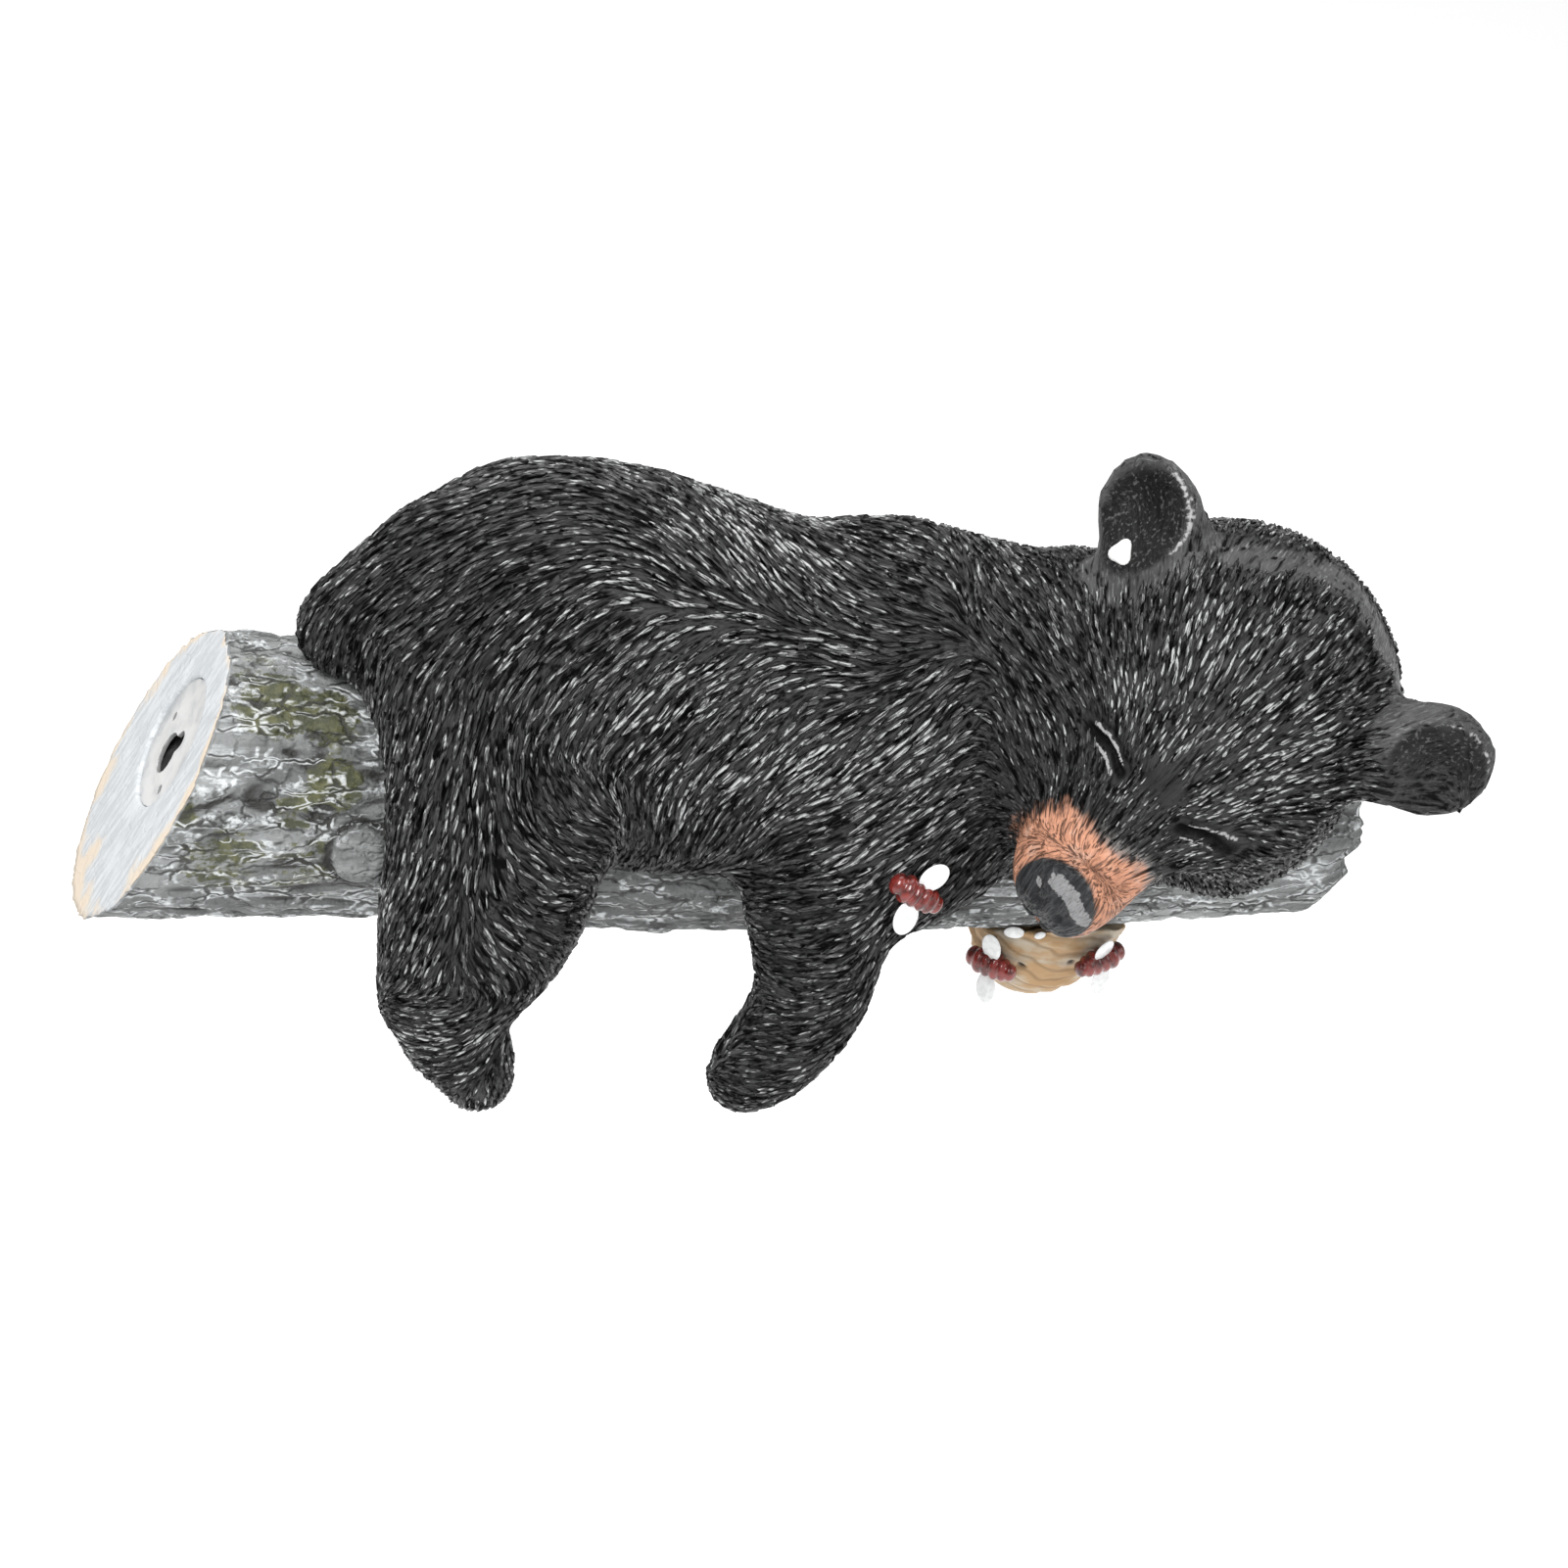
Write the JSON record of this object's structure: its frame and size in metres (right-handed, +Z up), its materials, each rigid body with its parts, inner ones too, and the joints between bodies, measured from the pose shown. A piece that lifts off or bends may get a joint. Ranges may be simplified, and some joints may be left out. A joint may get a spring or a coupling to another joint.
{
  "type": "bear figurine",
  "caption": "Black bear cub asleep on a log, legs hanging at both sides, with a hive and bees; a keyhole hanger plate is set in the slanted sawn end.",
  "frame": {"origin": "on the slanted sawn face of the log, on its middle line, 21 mm down the face from the centre of the keyhole plate", "axes": "+X along the log away from the sawn face, +Z up with the bear lying on top, -Y towards the side that the bear's face is turned to"},
  "size_m": [0.285, 0.1308, 0.1451],
  "materials": {
    "fur": "cast resin painted black, dry-brushed grey on the fur",
    "bark": "cast resin painted as grey bark with moss, pale sawn end",
    "plate": "satin stamped steel",
    "hive": "cast resin painted straw and cream",
    "bees": "gloss red-brown bodies, white wings"
  },
  "bodies": {
    "root": {"bear": "fur", "log": "bark", "keyhole_plate": "plate", "hive": "hive", "bee_on_arm": "bees", "bee_hive_left": "bees", "bee_hive_right": "bees"}
  },
  "joints": []
}
